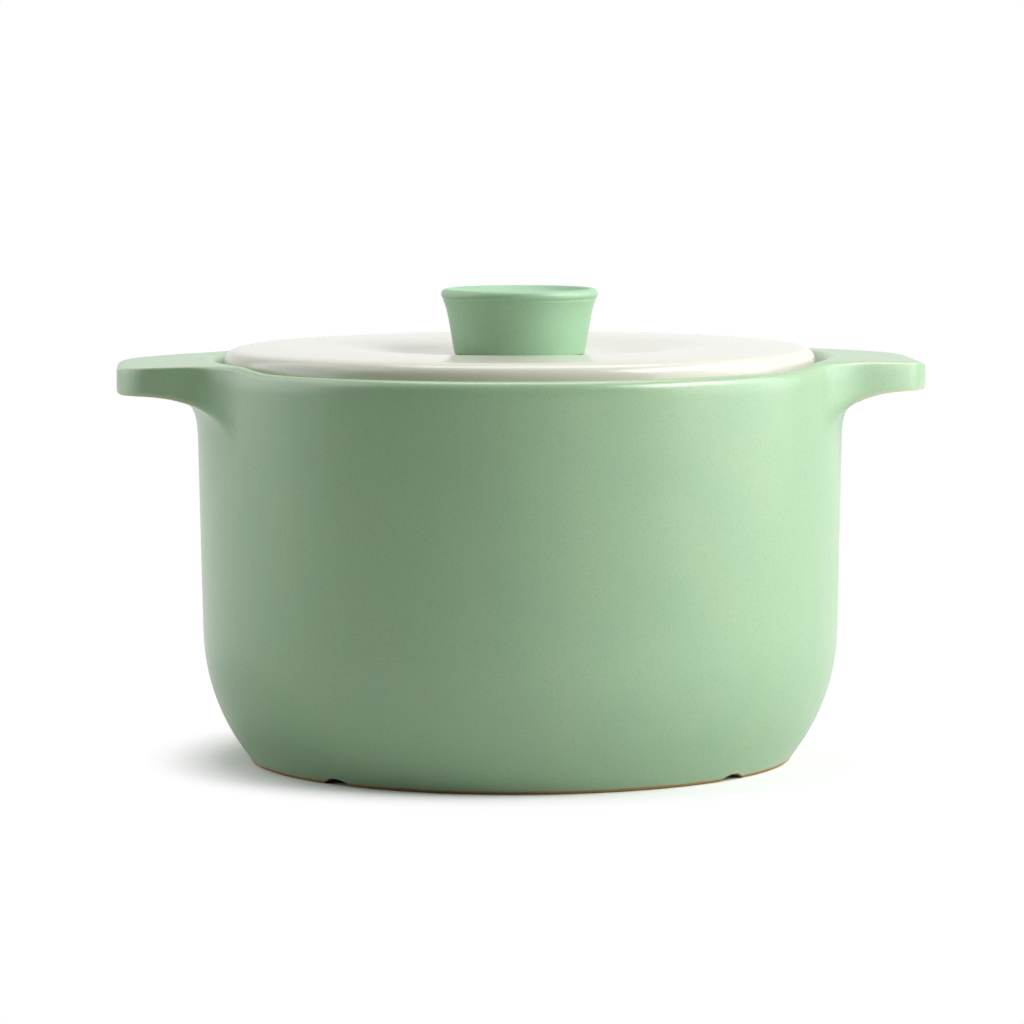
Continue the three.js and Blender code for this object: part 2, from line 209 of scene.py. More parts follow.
# Each lug is drawn out of the wall in steps: its reach, half its width, its top and its underside. It sweeps
# out of the wall in a wide fillet, and its outline from above ends in a squared oval. Each step flattens the
# curve that the wall gave it, and its edges stay crisp.
LUG_FLATTENING = 0.4
LUG_CREASE = 0.4
lug_reach = pot_high.x - body_radius
lug_top = pot_high.z
LUG_STEPS = [
    (2.0, 39.6, -0.45, -15.0),
    (6.0, 37.2, -0.65, -12.4),
    (12.0, 34.8, -1.0, -11.0),
    (18.5, 31.8, -1.35, -10.7),
    (22.5, 27.6, -1.65, -10.75),
    (25.2, 22.0, -2.1, -10.8),
    (lug_reach - 0.3, 17.5, -3.0, -10.2),
]
for side in (-1, 1):
    select_where(pot, "faces", lambda p, _: (
        lug_root < p.z < rim + 1 and p.xy.length > body_radius - 2.5
        and abs(math.atan2(p.y, side * p.x)) < LUG_HALF_COLUMNS * POT_STEP))
    reach, top, underside = 0.0, -0.3, lug_root - lug_top
    half_width = body_radius * math.sin(LUG_HALF_COLUMNS * POT_STEP)
    for next_reach, next_half_width, next_top, next_underside in LUG_STEPS:
        bpy.ops.mesh.extrude_region_move(
            TRANSFORM_OT_translate={"value": (side * (next_reach - reach) * MM, 0, (next_top - top) * MM)})
        bpy.ops.transform.resize(
            value=(LUG_FLATTENING, next_half_width / half_width,
                   (next_top - next_underside) / (top - underside)),
            center_override=(side * (body_radius + next_reach) * MM, 0, (lug_top + next_top) * MM))
        reach, half_width, top, underside = next_reach, next_half_width, next_top, next_underside
    select_where(pot, "edges", lambda p, edge: (
        body_radius < side * p.x < pot_high.x - 2.2 and edge.calc_face_angle() > math.radians(50)))
    bpy.ops.transform.edge_crease(value=LUG_CREASE)
smooth_out(pot, POT_SMOOTHING)

# Four shallow notches across the foot ring let steam and water out from under the pot.
NOTCH_COUNT = 4
NOTCH_WIDTH = 12.5
NOTCH_HEIGHT = 2.3
NOTCH_COLUMNS = 64
notch_radius = (NOTCH_WIDTH ** 2 / 4 + NOTCH_HEIGHT ** 2) / (2 * NOTCH_HEIGHT)
foot_middle = foot_radius - FOOT_WIDTH / 2
for i in range(NOTCH_COUNT):
    bearing = 2 * math.pi * (i + 0.5) / NOTCH_COUNT
    bpy.ops.object.select_all(action="DESELECT")
    bpy.ops.mesh.primitive_cylinder_add(
        vertices=NOTCH_COLUMNS, radius=notch_radius * MM, depth=2 * FOOT_WIDTH * MM,
        rotation=(math.pi / 2, 0, bearing + math.pi / 2),
        location=(foot_middle * math.cos(bearing) * MM, foot_middle * math.sin(bearing) * MM,
                  (NOTCH_HEIGHT - notch_radius) * MM))
    cutter = bpy.context.object
    notch = pot.modifiers.new("Notch", "BOOLEAN")
    notch.object = cutter
    bpy.context.view_layer.objects.active = pot
    bpy.ops.object.modifier_apply(modifier=notch.name)
    bpy.data.objects.remove(cutter)
pot.select_set(True)
bpy.ops.object.shade_smooth_by_angle(angle=math.radians(40))


def linear(code):
    """The linear colour of an sRGB hex code."""
    parts = [int(code[i:i + 2], 16) / 255 for i in (1, 3, 5)]
    return (*[c / 12.92 if c <= 0.04045 else ((c + 0.055) / 1.055) ** 2.4 for c in parts], 1)


def add_node(tree, kind, settings, links):
    """Adds a node. Settings are its properties or input values, and links are sockets that feed inputs."""
    made = tree.nodes.new(kind)
    for name, value in settings.items():
        if isinstance(name, str) and hasattr(made, name):
            setattr(made, name, value)
        else:
            made.inputs[name].default_value = value
    for name, source in links.items():
        tree.links.new(source, made.inputs[name])
    return made


def new_material(name):
    """An empty material, with its node tree, Principled shader and Object coordinates."""
    material = bpy.data.materials.new(name)
    material.use_nodes = True
    tree = material.node_tree
    coordinates = add_node(tree, "ShaderNodeTexCoord", {}, {}).outputs["Object"]
    return material, tree, tree.nodes["Principled BSDF"], coordinates


# Satin stoneware glaze: an opaque mint colour that clouds softly, has a fine grain, and breaks to a pale
# ochre where it runs thin over an edge. That pale ochre on sharp edges is also a painted highlight along
# them.
# It stops in an uneven line above the bare, toasted clay of the foot.
POT_MINT = [linear("#95b793"), linear("#99b993"), linear("#8bac88")]
KNOB_MINT = [linear("#92bb95"), linear("#95be99"), linear("#88b08b")]
# Pale ochre of the glaze breaking thin on edges, used also as a painted highlight.
THIN_GLAZE_AND_HIGHLIGHT = linear("#c3c397")
BARE_CLAY = linear("#b8935f")
TOASTED_CLAY = linear("#8a6a3e")
MINT_CLOUD_SIZE = 22
MINT_GRAIN_SIZE = 0.9
MINT_RIPPLE_SIZE = 5
GLAZE_LINE_WAVE = 9
GLAZE_LINE_RISE = 0.9
CLAY_GRIT = 0.6
CLAY_ROUGHNESS = 0.85
MINT_IOR = 1.64


def glaze_mint(name, colours, roughness, edge_break_and_highlight, bare_height):
    """The mint glaze in its plain, clouded and grain colours, with its roughness, the share of pale ochre on
    its sharp edges, which is thin glaze and a painted highlight, and bare clay below a height in mm."""
    plain, clouds, grains = colours
    glaze, tree, shader, place = new_material(name)
    cloud = add_node(tree, "ShaderNodeTexNoise", {"Scale": 1 / (MINT_CLOUD_SIZE * MM), "Detail": 3.0},
                     {"Vector": place})
    grain = add_node(tree, "ShaderNodeTexNoise", {"Scale": 1 / (MINT_GRAIN_SIZE * MM), "Detail": 2.0},
                     {"Vector": place})
    grain_share = add_node(tree, "ShaderNodeMapRange", {"From Min": 0.5, "From Max": 0.75, "To Max": 0.6},
                           {"Value": grain.outputs["Fac"]})
    cloud_share = add_node(tree, "ShaderNodeMapRange", {"From Min": 0.35, "From Max": 0.65},
                           {"Value": cloud.outputs["Fac"]})
    clouded = add_node(tree, "ShaderNodeMix", {"data_type": "RGBA", 6: plain, 7: clouds},
                       {0: cloud_share.outputs["Result"]})
    grained = add_node(tree, "ShaderNodeMix", {"data_type": "RGBA", 7: grains},
                       {0: grain_share.outputs["Result"], 6: clouded.outputs[2]})
    edge = add_node(tree, "ShaderNodeNewGeometry", {}, {})
    # Pointiness finds the sharp convex edges; they turn pale ochre, partly thin glaze and partly a painted
    # highlight.
    edge_break_and_highlight_share = add_node(tree, "ShaderNodeMapRange", {"From Min": 0.51, "From Max": 0.54, "To Max": edge_break_and_highlight},
                          {"Value": edge.outputs["Pointiness"]})
    edges_broken_and_lit = add_node(tree, "ShaderNodeMix", {"data_type": "RGBA", 7: THIN_GLAZE_AND_HIGHLIGHT},
                      {0: edge_break_and_highlight_share.outputs["Result"], 6: grained.outputs[2]})
    height = add_node(tree, "ShaderNodeSeparateXYZ", {}, {"Vector": place})
    ragged = add_node(tree, "ShaderNodeTexNoise", {"Scale": 1 / (GLAZE_LINE_WAVE * MM), "Detail": 4.0},
                      {"Vector": place})
    line = add_node(tree, "ShaderNodeMath", {"operation": "MULTIPLY_ADD", 1: GLAZE_LINE_RISE * MM},
                    {0: ragged.outputs["Fac"], 2: height.outputs["Z"]})
    line_height = bare_height + GLAZE_LINE_RISE / 2
    bare_share = add_node(tree, "ShaderNodeMapRange",
                          {"From Min": (line_height + 0.1) * MM, "From Max": (line_height - 0.1) * MM},
                          {"Value": line.outputs[0]})
    clay_grit = add_node(tree, "ShaderNodeTexNoise", {"Scale": 1 / (CLAY_GRIT * MM), "Detail": 3.0},
                         {"Vector": place})
    clay = add_node(tree, "ShaderNodeMix", {"data_type": "RGBA", 6: BARE_CLAY, 7: TOASTED_CLAY},
                    {0: clay_grit.outputs["Fac"]})
    surface = add_node(tree, "ShaderNodeMix", {"data_type": "RGBA"},
                       {0: bare_share.outputs["Result"], 6: edges_broken_and_lit.outputs[2], 7: clay.outputs[2]})
    tree.links.new(surface.outputs[2], shader.inputs["Base Color"])
    rough = add_node(tree, "ShaderNodeMapRange", {"To Min": roughness, "To Max": CLAY_ROUGHNESS},
                     {"Value": bare_share.outputs["Result"]})
    tree.links.new(rough.outputs["Result"], shader.inputs["Roughness"])
    shader.inputs["IOR"].default_value = MINT_IOR
    ripple = add_node(tree, "ShaderNodeTexNoise", {"Scale": 1 / (MINT_RIPPLE_SIZE * MM), "Detail": 2.0},
                      {"Vector": place})
    relief = add_node(tree, "ShaderNodeMath", {"operation": "MULTIPLY_ADD", 1: 6.0},
                      {0: ripple.outputs["Fac"], 2: grain.outputs["Fac"]})
    bump = add_node(tree, "ShaderNodeBump", {"Strength": 0.10, "Distance": 0.05 * MM},
                    {"Height": relief.outputs[0]})
    tree.links.new(bump.outputs["Normal"], shader.inputs["Normal"])
    return glaze


# Cream glaze: glossy and opaque, very slightly clouded, with a few iron specks from the clay below.
CREAM = linear("#d4d2c5")
CREAM_CLOUD = linear("#d8d6ca")
IRON_SPECK = linear("#9a8464")
CREAM_CLOUD_SIZE = 30
CREAM_RIPPLE_SIZE = 7
SPECK_SPACING = 14
CREAM_ROUGHNESS = 0.16
FLANGE_ROUGHNESS = 0.8


def glaze_cream(name, bare_height):
    """The cream glaze, with bare clay below a height in mm."""
    glaze, tree, shader, place = new_material(name)
    cloud = add_node(tree, "ShaderNodeTexNoise", {"Scale": 1 / (CREAM_CLOUD_SIZE * MM), "Detail": 3.0},
                     {"Vector": place})
    clouded = add_node(tree, "ShaderNodeMix", {"data_type": "RGBA", 6: CREAM, 7: CREAM_CLOUD},
                       {0: cloud.outputs["Fac"]})
    specks = add_node(tree, "ShaderNodeTexVoronoi", {"Scale": 1 / (SPECK_SPACING * MM)}, {"Vector": place})
    speck_share = add_node(tree, "ShaderNodeMapRange", {"From Min": 0.030, "From Max": 0.018, "To Max": 0.5},
                           {"Value": specks.outputs["Distance"]})
    specked = add_node(tree, "ShaderNodeMix", {"data_type": "RGBA", 7: IRON_SPECK},
                       {0: speck_share.outputs["Result"], 6: clouded.outputs[2]})
    height = add_node(tree, "ShaderNodeSeparateXYZ", {}, {"Vector": place})
    bare_share = add_node(tree, "ShaderNodeMapRange",
                          {"From Min": (bare_height + 0.1) * MM, "From Max": (bare_height - 0.1) * MM},
                          {"Value": height.outputs["Z"]})
    surface = add_node(tree, "ShaderNodeMix", {"data_type": "RGBA", 7: BARE_CLAY},
                       {0: bare_share.outputs["Result"], 6: specked.outputs[2]})
    tree.links.new(surface.outputs[2], shader.inputs["Base Color"])
    rough = add_node(tree, "ShaderNodeMapRange", {"To Min": CREAM_ROUGHNESS, "To Max": FLANGE_ROUGHNESS},
                     {"Value": bare_share.outputs["Result"]})
    tree.links.new(rough.outputs["Result"], shader.inputs["Roughness"])
    ripple = add_node(tree, "ShaderNodeTexNoise", {"Scale": 1 / (CREAM_RIPPLE_SIZE * MM), "Detail": 1.0},
                      {"Vector": place})
    bump = add_node(tree, "ShaderNodeBump", {"Strength": 0.06, "Distance": 0.2 * MM},
                    {"Height": ripple.outputs["Fac"]})
    tree.links.new(bump.outputs["Normal"], shader.inputs["Normal"])
    return glaze


POT_ROUGHNESS = 0.27
# How much the pot's sharp edges are painted pale: glaze break and painted highlight.
EDGE_BREAK_AND_HIGHLIGHT = 0.7
BARE_HEIGHT = 1.15
pot.data.materials.append(glaze_mint("mint_satin_glaze", POT_MINT, POT_ROUGHNESS, EDGE_BREAK_AND_HIGHLIGHT, BARE_HEIGHT))
pot.data.materials.append(glaze_cream("cream_inside_glaze", 0))
bpy.ops.object.mode_set(mode="EDIT")
select_where(pot, "faces", lambda p, face: (
    p.z > FLOOR_HEIGHT - 1 and p.xy.length < seat_radius - 0.1
    and (face.normal.z > 0.1 or face.normal.xy.dot(p.xy) < 0)))
pot.active_material_index = 1
bpy.ops.object.material_slot_assign()
bpy.ops.object.mode_set(mode="OBJECT")
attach(pot, "pot")
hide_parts("pot_body")

# Lid plate
# A fired plate that drops into the pot's mouth: a soft rounded edge, a low crown, a shallow dish where the
# knob stands, and below it a flange that centres it. It is glazed cream all over but for the flange's foot.
LID_COLUMNS = 64
LID_SMOOTHING = 2
LID_THICKNESS = 6.4
LID_DISH_DEPTH = 3.4
CROWN_RADIUS = 70
FLANGE_HEIGHT = 6.0
FLANGE_RADIUS = 96.0
FLANGE_INNER = 90.5
FLANGE_BARE = 0.8
SCREW_HOLE = 3.3
lid_low, lid_high = (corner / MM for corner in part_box("lid_plate"))
lid_radius = lid_high.x
crown = lid_high.z
flange_foot = lid_low.z
lid_seat = flange_foot + FLANGE_HEIGHT
dish_floor = crown - LID_DISH_DEPTH
dish_under = dish_floor - LID_THICKNESS
crown_under = crown - LID_THICKNESS
lid = turn("lid", LID_COLUMNS, [
    (SCREW_HOLE, dish_under),
    (SCREW_HOLE + 0.5, dish_under),
    (28, dish_under),
    (40, dish_under + 0.6),
    (50, dish_under + 2.0),
    (59, crown_under - 0.3),
    (CROWN_RADIUS, crown_under),
    (FLANGE_INNER - 4, crown_under - 0.8),
    (FLANGE_INNER - 0.6, crown_under - 1.3),
    (FLANGE_INNER, crown_under - 2.2),
    (FLANGE_INNER, flange_foot + 2),
    (FLANGE_INNER + 0.4, flange_foot + 0.3),
    (FLANGE_INNER + 1.4, flange_foot),
    (FLANGE_RADIUS - 1.4, flange_foot),
    (FLANGE_RADIUS - 0.3, flange_foot + 0.4),
    (FLANGE_RADIUS, flange_foot + 1.6),
    (FLANGE_RADIUS, lid_seat - 0.8),
    (FLANGE_RADIUS + 0.2, lid_seat),
    (lid_radius - 1.0, lid_seat),
    (lid_radius - 0.2, lid_seat + 0.2),
    (lid_radius, lid_seat + 1.2),
    (lid_radius + 0.02, lid_seat + 3.2),
    (lid_radius - 0.15, lid_seat + 5.6),
    (lid_radius - 1.3, lid_seat + 7.4),
    (lid_radius - 3.6, lid_seat + 8.4),
    (lid_radius - 8, crown - 0.62),
    (lid_radius - 16, crown - 0.25),
    (CROWN_RADIUS, crown),
    (60, crown - 0.15),
    (51, crown - 1.0),
    (43, crown - 2.2),
    (35, crown - 3.1),
    (27, dish_floor),
    (SCREW_HOLE + 0.5, dish_floor),
    (SCREW_HOLE, dish_floor - 0.3),
    (SCREW_HOLE, dish_under + 0.5),
    (SCREW_HOLE, dish_under),
])
smooth_out(lid, LID_SMOOTHING)
lid.data.materials.append(glaze_cream("cream_gloss_glaze", flange_foot + FLANGE_BARE))
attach(lid, "lid")
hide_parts("lid_plate")

# Knob gasket
# A thin disc of moulded silicone between the knob and the lid. It keeps the two glazes apart and seals the
# screw hole, and it shows only as a dark line under the knob.
GASKET_COLUMNS = 48
GASKET_HOLE = 2.8
SPARK_GRIT = 0.3
gasket_low, gasket_high = (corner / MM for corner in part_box("knob_gasket"))
gasket = turn("gasket", GASKET_COLUMNS, [
    (GASKET_HOLE, gasket_low.z),
    (gasket_high.x - 0.25, gasket_low.z),
    (gasket_high.x - 0.05, gasket_low.z + 0.1),
    (gasket_high.x - 0.05, gasket_high.z - 0.1),
    (gasket_high.x - 0.25, gasket_high.z),
    (GASKET_HOLE, gasket_high.z),
    (GASKET_HOLE, gasket_low.z),
])
bpy.ops.object.mode_set(mode="OBJECT")
bpy.ops.object.shade_smooth_by_angle(angle=math.radians(50))
# Moulded silicone: dull grey green, with the fine spark finish of its mould.
silicone, tree, shader, place = new_material("moulded_silicone")
spark = add_node(tree, "ShaderNodeTexNoise", {"Scale": 1 / (SPARK_GRIT * MM), "Detail": 2.0},
                 {"Vector": place})
tone = add_node(tree, "ShaderNodeMix", {"data_type": "RGBA", 6: linear("#4d5851"), 7: linear("#5c675f")},
                {0: spark.outputs["Fac"]})
tree.links.new(tone.outputs[2], shader.inputs["Base Color"])
shader.inputs["Roughness"].default_value = 0.6
shader.inputs["IOR"].default_value = 1.42
bump = add_node(tree, "ShaderNodeBump", {"Strength": 0.2, "Distance": 0.05 * MM},
                {"Height": spark.outputs["Fac"]})
tree.links.new(bump.outputs["Normal"], shader.inputs["Normal"])
gasket.data.materials.append(silicone)
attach(gasket, "lid")
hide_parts("knob_gasket")

# Lid knob
# A hollow fired knob that flares to a rolled lip round a dished top, with a boss inside for the insert.
# It is dipped all over in a duller mint glaze, and a fine line runs under the lip where the roll was
# smoothed down.
KNOB_COLUMNS = 64
KNOB_SMOOTHING = 2
KNOB_ROUGHNESS = 0.42
KNOB_DISH_DEPTH = 3
HOLLOW_RADIUS = 18.6
HOLLOW_HEIGHT = 13.8
SOCKET_RADIUS = 4.7
SOCKET_DEPTH = 11.5
BOSS_RADIUS = 8.1
knob_low, knob_high = (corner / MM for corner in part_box("lid_knob"))
lip = knob_high.x
base = knob_low.z
top = knob_high.z
knob = turn("knob", KNOB_COLUMNS, [
    (0, base + SOCKET_DEPTH),
    (SOCKET_RADIUS - 0.4, base + SOCKET_DEPTH),
    (SOCKET_RADIUS, base + SOCKET_DEPTH - 0.3),
    (SOCKET_RADIUS, base + 1),
    (SOCKET_RADIUS + 0.3, base + 0.3),
    (BOSS_RADIUS - 0.4, base + 0.3),
    (BOSS_RADIUS, base + 0.8),
    (BOSS_RADIUS, base + 12),
    (BOSS_RADIUS + 1.2, base + HOLLOW_HEIGHT),
    (HOLLOW_RADIUS, base + HOLLOW_HEIGHT),
    (HOLLOW_RADIUS + 1.4, base + HOLLOW_HEIGHT - 1.2),
    (HOLLOW_RADIUS, base + 4),
    (HOLLOW_RADIUS - 0.6, base + 0.5),
    (HOLLOW_RADIUS - 0.1, base),
    (lip - 4.9, base),
    (lip - 4.75, base - 0.5),
    (lip - 4.55, base - 0.7),
    (lip - 4.3, base - 0.45),
    (lip - 4.1, base + 0.9),
    (lip - 3.5, base + 4.5),
    (lip - 2.85, base + 8.5),
    (lip - 2.2, base + 12),
    (lip - 1.65, base + 14.4),
    (lip - 1.0, base + 16.4),
    (lip - 0.55, base + 17.5),
    (lip - 0.62, base + 17.85),
    (lip - 0.35, base + 18.05),
    (lip, base + 18.7),
    (lip + 0.08, top - 1.5),
    (lip - 0.5, top - 0.45),
    (lip - 1.7, top + 0.05),
    (lip - 2.7, top - 0.15),
    (lip - 3.6, top - 0.95),
    (lip - 4.8, top - 1.9),
    (lip - 7.5, top - 2.6),
    (lip - 13, top - 2.9),
    (lip - 18, top - KNOB_DISH_DEPTH),
    (3, top - KNOB_DISH_DEPTH),
    (0, top - KNOB_DISH_DEPTH),
])
smooth_out(knob, KNOB_SMOOTHING)
below_knob = base - 5
knob.data.materials.append(glaze_mint("mint_knob_glaze", KNOB_MINT, KNOB_ROUGHNESS, 0.0, below_knob))
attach(knob, "lid")
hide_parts("lid_knob")

# Knob insert
# A threaded brass bush, cemented into the boss inside the knob. It is turned from bar, and two knurled bands
# with a groove between them key it into the cement.
INSERT_COLUMNS = 48
INSERT_BORE = 2.7
THREAD_PITCH = 0.8
THREAD_DEPTH = 0.4
KNURL_DEPTH = 0.25
TOOL_LINE = 0.2
TARNISH_SIZE = 1.5
insert_low, insert_high = (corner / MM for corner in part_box("knob_insert"))
knurl_root = insert_high.x - KNURL_DEPTH
insert_start, insert_end = insert_low.z, insert_high.z
insert_middle = (insert_start + insert_end) / 2
thread_turns = int((insert_end - insert_start - 1) / THREAD_PITCH)
insert_thread = []
for i in range(thread_turns):
    crest = insert_end - 0.7 - i * THREAD_PITCH
    insert_thread += [(INSERT_BORE, crest), (INSERT_BORE + THREAD_DEPTH, crest - THREAD_PITCH / 2)]
insert = turn("insert", INSERT_COLUMNS, [
    (INSERT_BORE + THREAD_DEPTH, insert_start),
    (knurl_root - 0.4, insert_start),
    (knurl_root, insert_start + 0.4),
    (knurl_root, insert_start + 0.7),
    (knurl_root, insert_middle - 1.0),
    (knurl_root - 0.7, insert_middle - 0.6),
    (knurl_root - 0.7, insert_middle + 0.6),
    (knurl_root, insert_middle + 1.0),
    (knurl_root, insert_end - 0.7),
    (knurl_root, insert_end - 0.4),
    (knurl_root - 0.4, insert_end),
    (INSERT_BORE + THREAD_DEPTH, insert_end),
    *insert_thread,
    (INSERT_BORE + THREAD_DEPTH, insert_start),
])
knurl_step = 2 * math.pi / INSERT_COLUMNS
select_where(insert, "faces", lambda p, _: (
    p.xy.length > knurl_root - 0.1 and 1.0 < abs(p.z - insert_middle) < insert_end - insert_middle - 0.7
    and math.floor(math.atan2(p.y, p.x) / knurl_step) % 2 == 0))
bpy.ops.mesh.extrude_region_move(TRANSFORM_OT_translate={"value": (0, 0, 0)})
knurl_growth = (insert_high.x - 0.02) / knurl_root
bpy.ops.transform.resize(value=(knurl_growth, knurl_growth, 1), center_override=(0, 0, 0))
bpy.ops.object.mode_set(mode="OBJECT")
bpy.ops.object.shade_smooth_by_angle(angle=math.radians(35))
# Turned brass: yellow metal with fine tool lines round it, a little duller in patches.
brass, tree, shader, place = new_material("turned_brass")
WAVE_AT_SCALE_ONE = 0.314
lines = add_node(tree, "ShaderNodeTexWave",
                 {"bands_direction": "Z", "Scale": WAVE_AT_SCALE_ONE / (TOOL_LINE * MM), "Distortion": 1.0},
                 {"Vector": place})
dull = add_node(tree, "ShaderNodeTexNoise", {"Scale": 1 / (TARNISH_SIZE * MM), "Detail": 3.0},
                {"Vector": place})
tone = add_node(tree, "ShaderNodeMix", {"data_type": "RGBA", 6: linear("#a8874a"), 7: linear("#c6a462")},
                {0: dull.outputs["Fac"]})
tree.links.new(tone.outputs[2], shader.inputs["Base Color"])
shader.inputs["Metallic"].default_value = 1.0
gloss = add_node(tree, "ShaderNodeMapRange", {"To Min": 0.25, "To Max": 0.42}, {"Value": dull.outputs["Fac"]})
tree.links.new(gloss.outputs["Result"], shader.inputs["Roughness"])
bump = add_node(tree, "ShaderNodeBump", {"Strength": 0.15, "Distance": 0.02 * MM},
                {"Height": lines.outputs["Fac"]})
tree.links.new(bump.outputs["Normal"], shader.inputs["Normal"])
insert.data.materials.append(brass)
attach(insert, "lid")
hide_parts("knob_insert")

# Washers
# Under the lid a thick silicone washer seals the screw hole and cushions the glaze, and a stamped stainless
# washer below it spreads the load. The stamped one is rounded on the side where the punch went in.
WASHER_COLUMNS = 64
WASHER_BORE = 2.7
SCRATCH_SIZE = 0.5


def turn_washer(name, node, round_low, round_high):
    """A flat ring that fills the node's box, with its outer edges rounded below and above."""
    low, high = (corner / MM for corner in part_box(node))
    washer = turn(name, WASHER_COLUMNS, [
        (WASHER_BORE, low.z + 0.1),
        (WASHER_BORE + 0.1, low.z),
        (high.x - round_low, low.z),
        (high.x - 0.3 * round_low, low.z + 0.3 * round_low),
        (high.x, low.z + round_low),
        (high.x, high.z - round_high),
        (high.x - 0.3 * round_high, high.z - 0.3 * round_high),
        (high.x - round_high, high.z),
        (WASHER_BORE + 0.1, high.z),
        (WASHER_BORE, high.z - 0.1),
        (WASHER_BORE, low.z + 0.1),
    ])
    bpy.ops.object.mode_set(mode="OBJECT")
    bpy.ops.object.shade_smooth_by_angle(angle=math.radians(50))
    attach(washer, "lid_fixing")
    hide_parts(node)
    return washer


seal = turn_washer("seal", "seal_washer", 0.4, 0.4)
seal.data.materials.append(silicone)

# Stainless steel: bright neutral metal, tumbled after stamping, so it has short fine scratches every way.
stainless, tree, shader, place = new_material("tumbled_stainless")
tumble = add_node(tree, "ShaderNodeTexNoise", {"Scale": 1 / (SCRATCH_SIZE * MM), "Detail": 4.0},
                  {"Vector": place})
tone = add_node(tree, "ShaderNodeMix", {"data_type": "RGBA", 6: linear("#b4b5b6"), 7: linear("#c9c9c7")},
                {0: tumble.outputs["Fac"]})
tree.links.new(tone.outputs[2], shader.inputs["Base Color"])
shader.inputs["Metallic"].default_value = 1.0
gloss = add_node(tree, "ShaderNodeMapRange", {"To Min": 0.18, "To Max": 0.38},
                 {"Value": tumble.outputs["Fac"]})
tree.links.new(gloss.outputs["Result"], shader.inputs["Roughness"])
bump = add_node(tree, "ShaderNodeBump", {"Strength": 0.1, "Distance": 0.02 * MM},
                {"Height": tumble.outputs["Fac"]})
tree.links.new(bump.outputs["Normal"], shader.inputs["Normal"])
washer = turn_washer("washer", "steel_washer", 0.1, 0.3)
washer.data.materials.append(stainless)

# Knob screw
# A stainless pan-head machine screw with a cross recess, put in from below through the washers and the lid.
# Its thread is drawn as rings of the right pitch, since the knob and the lid hide it.
SCREW_COLUMNS = 48
SCREW_RADIUS = 2.5
HEAD_HEIGHT = 3.2
CROSS_LENGTH = 5.0
CROSS_WIDTH = 1.2
CROSS_DEPTH = 1.6
screw_low, screw_high = (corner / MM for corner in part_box("knob_screw"))
head = screw_high.x
head_face = screw_low.z
head_seat = head_face + HEAD_HEIGHT
tip = screw_high.z
thread_root = SCREW_RADIUS - THREAD_DEPTH
thread = []
for i in range(int((tip - head_seat - 3) / THREAD_PITCH)):
    crest = head_seat + 1.6 + i * THREAD_PITCH
    thread += [(thread_root, crest - THREAD_PITCH / 2), (SCREW_RADIUS, crest)]
screw = turn("screw", SCREW_COLUMNS, [
    (0, head_face),
    (head - 2.2, head_face + 0.05),
    (head - 1.3, head_face + 0.2),
    (head - 0.6, head_face + 0.6),
    (head - 0.15, head_face + 1.2),
    (head - 0.01, head_face + 1.9),
    (head - 0.01, head_seat - 0.25),
    (head - 0.25, head_seat),
    (SCREW_RADIUS + 0.3, head_seat),
    (SCREW_RADIUS, head_seat + 0.3),
    *thread,
    (thread_root, tip - 0.8),
    (thread_root - 0.5, tip),
    (0, tip),
])
bpy.ops.object.mode_set(mode="OBJECT")
for turned in (0, math.pi / 2):
    bpy.ops.object.select_all(action="DESELECT")
    bpy.ops.mesh.primitive_cube_add(size=1)
    cutter = bpy.context.object
    bpy.ops.object.mode_set(mode="EDIT")
    bpy.ops.transform.resize(value=(CROSS_LENGTH * MM, CROSS_WIDTH * MM, 2 * CROSS_DEPTH * MM))
    select_where(cutter, "verts", lambda p, _: p.z > 0)
    bpy.ops.transform.resize(value=(0.6, 0.8, 1), center_override=(0, 0, CROSS_DEPTH * MM))
    bpy.ops.mesh.select_all(action="SELECT")
    bpy.ops.transform.rotate(value=turned, orient_axis="Z", center_override=(0, 0, 0))
    bpy.ops.transform.translate(value=(0, 0, head_face * MM))
    bpy.ops.object.mode_set(mode="OBJECT")
    recess = screw.modifiers.new("Recess", "BOOLEAN")
    recess.object = cutter
    bpy.context.view_layer.objects.active = screw
    bpy.ops.object.modifier_apply(modifier=recess.name)
    bpy.data.objects.remove(cutter)
screw.select_set(True)
bpy.ops.object.shade_smooth_by_angle(angle=math.radians(35))
screw.data.materials.append(stainless)
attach(screw, "lid_fixing")
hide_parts("knob_screw")

# Floor and surroundings
# A plain white table that runs out into a white room. The table keeps the pot's shadow and fades into the
# room further out. Gloss shows table and room white behind the pot and to its right, and dark in front, where
# the studio is open.
FLOOR_SIZE = 12
FLOOR_BOUNCE = linear("#dcdcda")
FLOOR_SEEN = linear("#f9f9f8")
SHADOW_START = 0.088
SHADOW_END = 0.128
ROOM_LIGHT = 0.01
OPEN_SIDE = 0.08
FAR_SIDE = 0.95
bpy.ops.object.select_all(action="DESELECT")
bpy.ops.mesh.primitive_plane_add(size=FLOOR_SIZE)
floor = bpy.context.object
floor.name = "floor"
paper, tree, shader, place = new_material("white_paper_floor")
path = add_node(tree, "ShaderNodeLightPath", {}, {})
shade = add_node(tree, "ShaderNodeMix", {"data_type": "RGBA", 6: FLOOR_BOUNCE, 7: FLOOR_SEEN},
                 {0: path.outputs["Is Camera Ray"]})
tree.links.new(shade.outputs[2], shader.inputs["Base Color"])
shader.inputs["Roughness"].default_value = 0.9
shader.inputs["Specular IOR Level"].default_value = 0.0
distance = add_node(tree, "ShaderNodeVectorMath", {"operation": "LENGTH"}, {0: place})
far = add_node(tree, "ShaderNodeMapRange",
               {"interpolation_type": "SMOOTHSTEP", "From Min": SHADOW_START, "From Max": SHADOW_END},
               {"Value": distance.outputs["Value"]})
spot = add_node(tree, "ShaderNodeSeparateXYZ", {}, {"Vector": place})
